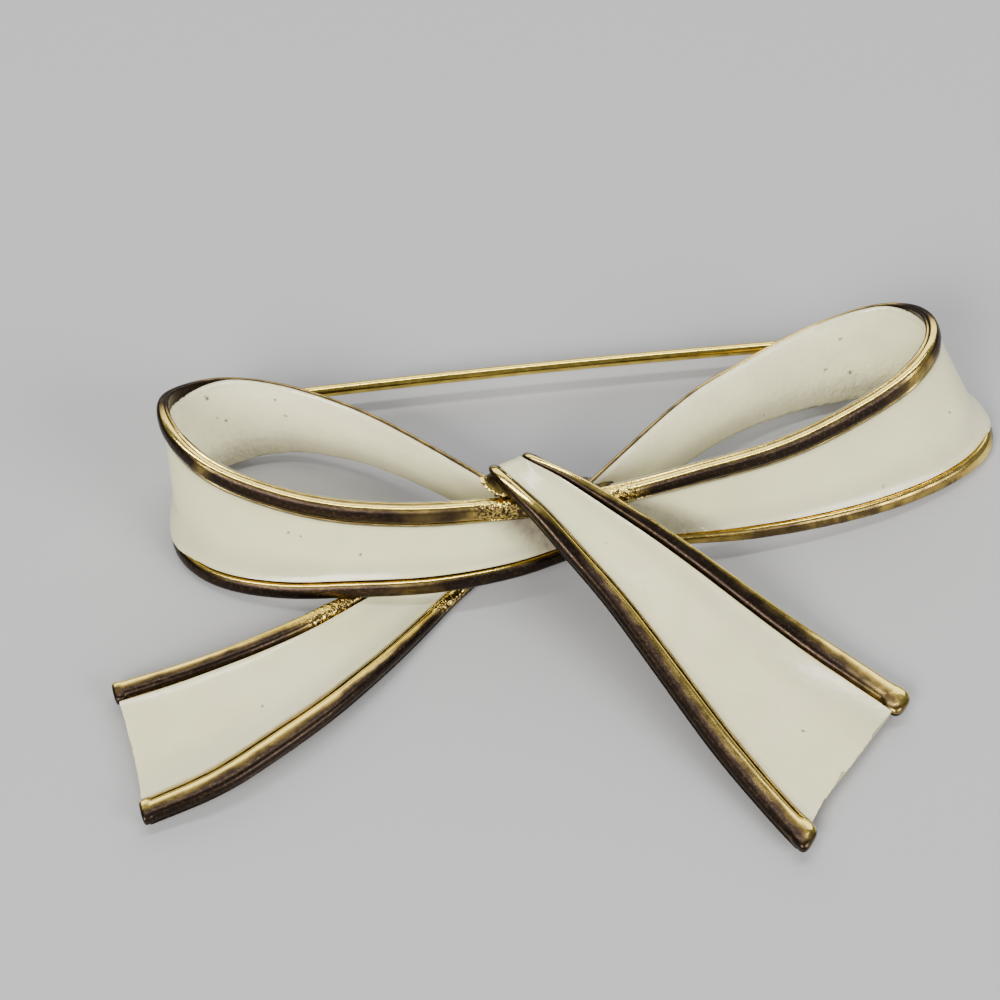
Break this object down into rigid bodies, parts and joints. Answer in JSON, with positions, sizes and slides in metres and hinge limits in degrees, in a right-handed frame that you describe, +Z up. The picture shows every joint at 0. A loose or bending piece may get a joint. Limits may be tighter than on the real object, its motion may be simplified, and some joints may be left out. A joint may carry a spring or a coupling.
{
  "type": "bow brooch",
  "caption": "Bow brooch of gold-tone metal ribbon with cream enamel, two standing loops, a folded knot, flared tails, and a hinged pin stem with an open hook catch behind.",
  "frame": {"origin": "middle of the brooch's footprint on the surface it lies on", "axes": "+Z up from that surface, the side that faces the cloth when worn; +X along the bow to the right as seen from the front, and +Y from the tails to the pin"},
  "size_m": [0.0694, 0.0468, 0.0107],
  "materials": {
    "gold_ribbon": "gold-tone plating, polished on the loops' rims, tarnished and finely grained on the tails, pitted at the solder",
    "cream_enamel": "cream enamel, satin gloss, dished between the rims, with small dark specks and scratches",
    "lining_enamel": "cream enamel, satin, slightly uneven, with chipped edges",
    "gold_findings": "gold-tone sheet, plain, lightly worn",
    "gold_wire": "bright gold-tone drawn wire"
  },
  "bodies": {
    "brooch": {"bow": "gold_ribbon", "left_loop_enamel": "cream_enamel", "left_loop_lining": "lining_enamel", "right_loop_enamel": "cream_enamel", "right_loop_lining": "lining_enamel", "left_tail_enamel": "cream_enamel", "knot_tail_enamel": "cream_enamel", "hinge_bracket": "gold_findings", "hinge_rivet": "gold_findings", "catch": "gold_findings"},
    "pin": {"pin_stem": "gold_wire"}
  },
  "joints": [
    {"name": "pin_hinge", "type": "hinge", "parent": "brooch", "child": "pin", "pos_m": [-0.0247, 0.02247, 0.002], "axis": [0, 0, 1], "range_deg": [0, 75]}
  ]
}
